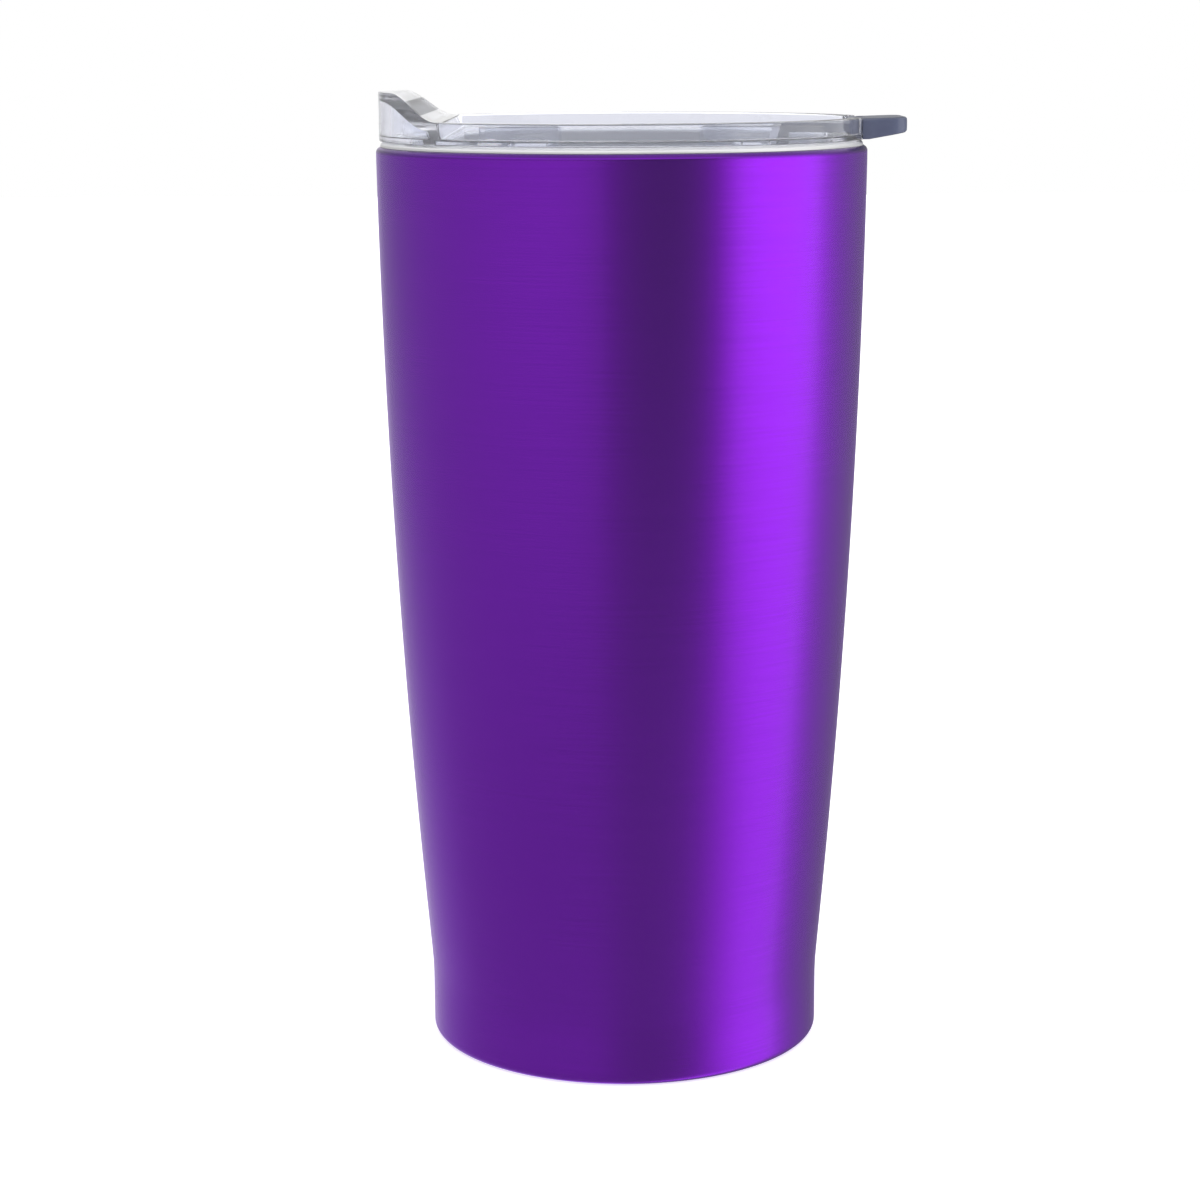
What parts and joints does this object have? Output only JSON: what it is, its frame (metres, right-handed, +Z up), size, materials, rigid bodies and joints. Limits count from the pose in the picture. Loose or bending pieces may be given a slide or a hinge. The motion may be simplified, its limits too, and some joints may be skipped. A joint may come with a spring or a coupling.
{
  "type": "insulated tumbler with lid",
  "caption": "Double-wall steel drinking tumbler with a flared purple body, a clear push-on lid with a raised spout, and a grey thumb slider that opens the drink slot.",
  "frame": {"origin": "centre of the resting face at the bottom of the tumbler", "axes": "+Z up along the body's axis, +X towards the slider's thumb tab, -X towards the spout"},
  "size_m": [0.0946, 0.088, 0.1743],
  "materials": {
    "purple_lacquer": "translucent purple lacquer over horizontally brushed steel, satin gloss",
    "brushed_steel": "brushed round the axis, polished at the lip",
    "plain_steel": "plain mill finish",
    "sealing_glass": "smooth fused sealing glass",
    "getter_alloy": "pressed grey powder alloy",
    "clear_plastic": "clear moulded plastic, faintly blue-grey, polished",
    "silicone": "translucent white silicone, satin",
    "grey_plastic": "smoke-grey moulded plastic, satin gloss"
  },
  "bodies": {
    "tumbler": {"outer_shell": "purple_lacquer", "liner_wall": "brushed_steel", "liner_bottom": "brushed_steel", "vacuum_plate": "plain_steel", "sealing_bead": "sealing_glass", "getter_pellet": "getter_alloy", "getter_strap": "plain_steel", "base_cover": "plain_steel"},
    "lid": {"lid_body": "clear_plastic", "lid_gasket": "silicone"},
    "thumb_slider": {"slider": "grey_plastic", "slider_seal": "silicone"}
  },
  "joints": [
    {"name": "lid_lift", "type": "slide", "parent": "tumbler", "child": "lid", "axis": [0, 0, 1], "range_m": [0, 0.035]},
    {"name": "slider_travel", "type": "slide", "parent": "lid", "child": "thumb_slider", "axis": [1, 0, 0], "range_m": [0, 0.007]}
  ]
}
